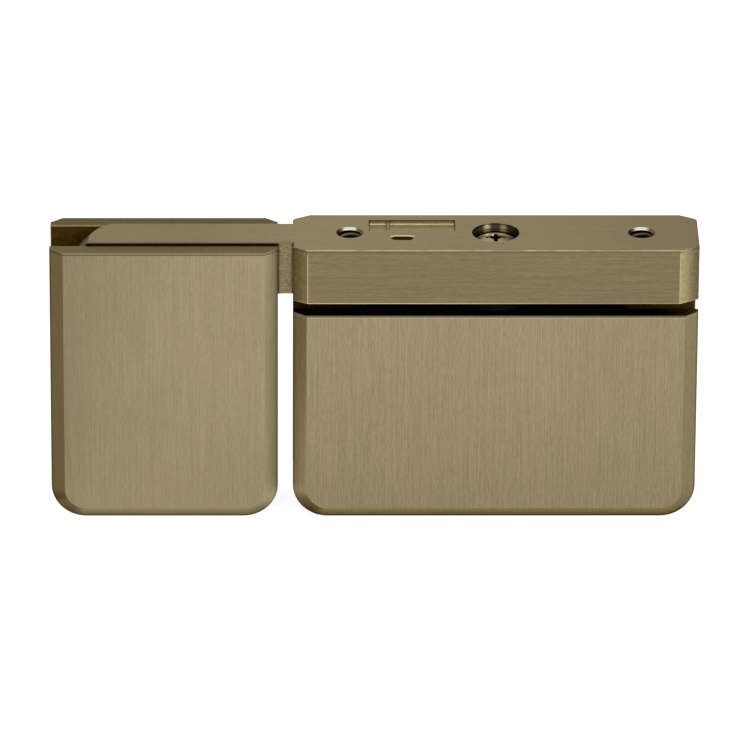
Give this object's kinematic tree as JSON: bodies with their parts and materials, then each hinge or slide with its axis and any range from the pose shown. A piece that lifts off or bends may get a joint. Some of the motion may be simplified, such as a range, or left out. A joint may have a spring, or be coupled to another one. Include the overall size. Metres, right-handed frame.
{
  "type": "pivot hinge",
  "caption": "Glass door pivot hinge: a mounting bar with an arm to a fixed panel clamp, and a door clamp that turns under the bar on an upright pin.",
  "frame": {"origin": "on the pivot axis, in the bar's mounting face", "axes": "+X along the bar to its free end, +Y to the side of the clamp screws, +Z out of the mounting face"},
  "size_m": [0.1422, 0.0198, 0.0652],
  "materials": {
    "satin_brass": "brushed satin, dark antique brass",
    "steel": "satin stainless steel",
    "nylon": "matt black",
    "gasket": "matt"
  },
  "bodies": {
    "frame": {"mounting_bar": "satin_brass", "pivot_screw": "satin_brass", "lock_washer": "steel", "pivot_pin": "steel", "retaining_ring": "steel", "panel_front_plate": "satin_brass", "panel_rear_plate": "satin_brass", "panel_front_gasket": "gasket", "panel_rear_gasket": "gasket", "arm_screws": "steel", "glass_screw": "steel", "glass_hole_sleeve": "nylon"},
    "door_clamp": {"door_front_plate": "satin_brass", "door_rear_plate": "satin_brass", "door_front_gasket": "gasket", "door_rear_gasket": "gasket", "door_screws": "steel", "upper_bush": "nylon", "lower_bush": "nylon", "spring_left": "steel", "spring_right": "steel", "adjuster_left": "steel", "adjuster_right": "steel"},
    "detent_left": {"plunger_left": "steel"},
    "detent_right": {"plunger_right": "steel"}
  },
  "joints": [
    {"name": "door_pivot", "type": "hinge", "parent": "frame", "child": "door_clamp", "pos_m": [0, 0, 0], "axis": [0, 0, 1], "range_deg": [-90, 90]},
    {"name": "detent_left_slide", "type": "slide", "parent": "door_clamp", "child": "detent_left", "axis": [-1, 0, 0], "range_m": [-0.0005, 0], "stiffness_N_per_m": 8000, "springref_m": -0.0025, "deforming": ["spring_left"]},
    {"name": "detent_right_slide", "type": "slide", "parent": "door_clamp", "child": "detent_right", "axis": [1, 0, 0], "range_m": [-0.0005, 0], "stiffness_N_per_m": 8000, "springref_m": -0.0025, "deforming": ["spring_right"]}
  ]
}
